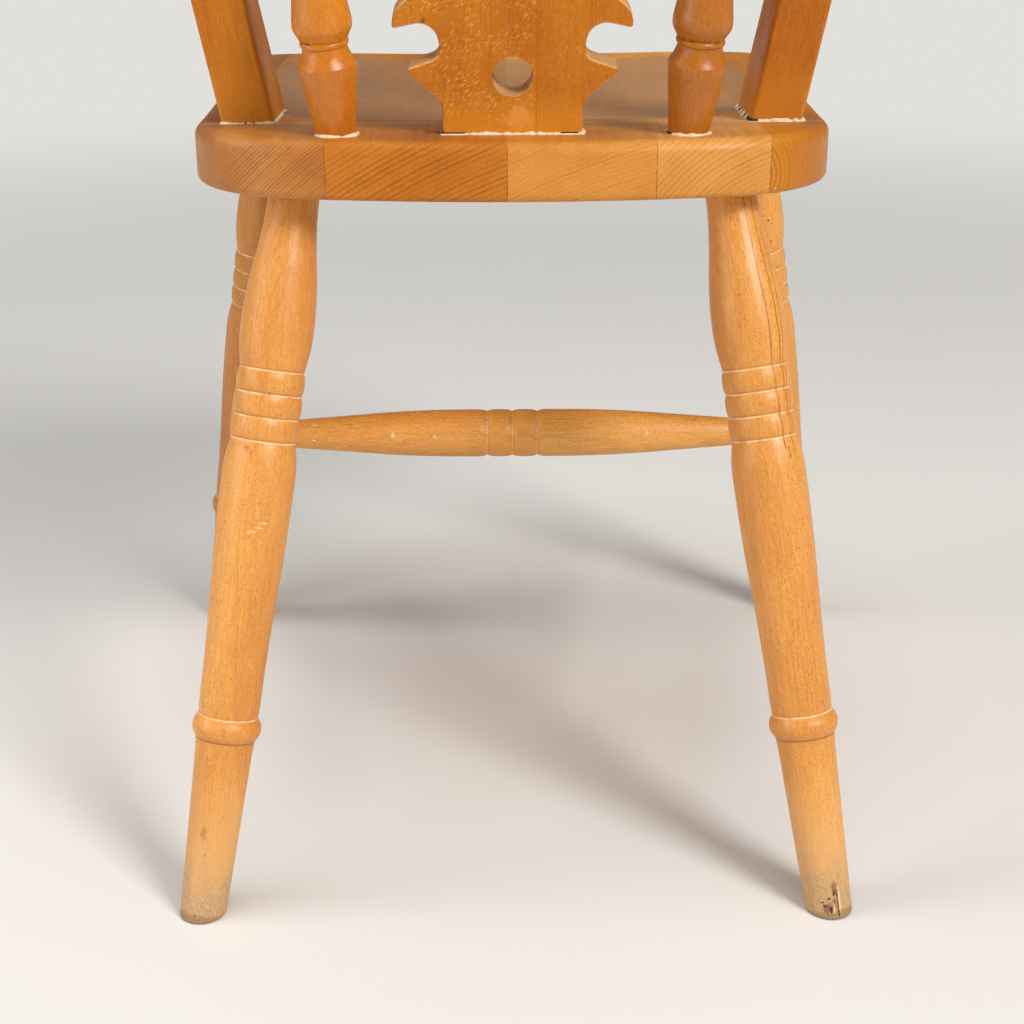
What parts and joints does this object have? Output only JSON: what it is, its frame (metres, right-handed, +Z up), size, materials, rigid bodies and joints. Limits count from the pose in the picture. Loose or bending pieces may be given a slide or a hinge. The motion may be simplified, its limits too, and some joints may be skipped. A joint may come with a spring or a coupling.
{
  "type": "windsor chair",
  "caption": "Windsor side chair in turned beech: shaped seat, splayed legs with an H stretcher, pierced splat, turned back spindles, square posts and a curved crest rail.",
  "frame": {"origin": "on the floor, below the middle of the chair's bounding box", "axes": "+Z up; -Y towards the front, the way the sitter faces; +X towards the sitter's left hand"},
  "size_m": [0.4922, 0.5064, 0.9084],
  "materials": {
    "seat_boards": "worn satin lacquer",
    "turned_beech": "satin lacquer",
    "post_beech": "satin lacquer",
    "splat_beech": "satin lacquer",
    "rail_beech": "satin lacquer",
    "pin_beech": "satin lacquer"
  },
  "bodies": {
    "root": {"seat_board_1": "seat_boards", "seat_board_2": "seat_boards", "seat_board_3": "seat_boards", "seat_board_4": "seat_boards", "seat_board_5": "seat_boards", "seat_board_6": "seat_boards", "front_left_leg": "turned_beech", "front_right_leg": "turned_beech", "rear_left_leg": "turned_beech", "rear_right_leg": "turned_beech", "left_side_stretcher": "turned_beech", "right_side_stretcher": "turned_beech", "cross_stretcher": "turned_beech", "left_back_spindle": "turned_beech", "right_back_spindle": "turned_beech", "left_back_post": "post_beech", "right_back_post": "post_beech", "splat_left_board": "splat_beech", "splat_right_board": "splat_beech", "crest_rail": "rail_beech", "crest_rail_pins": "pin_beech"}
  },
  "joints": []
}
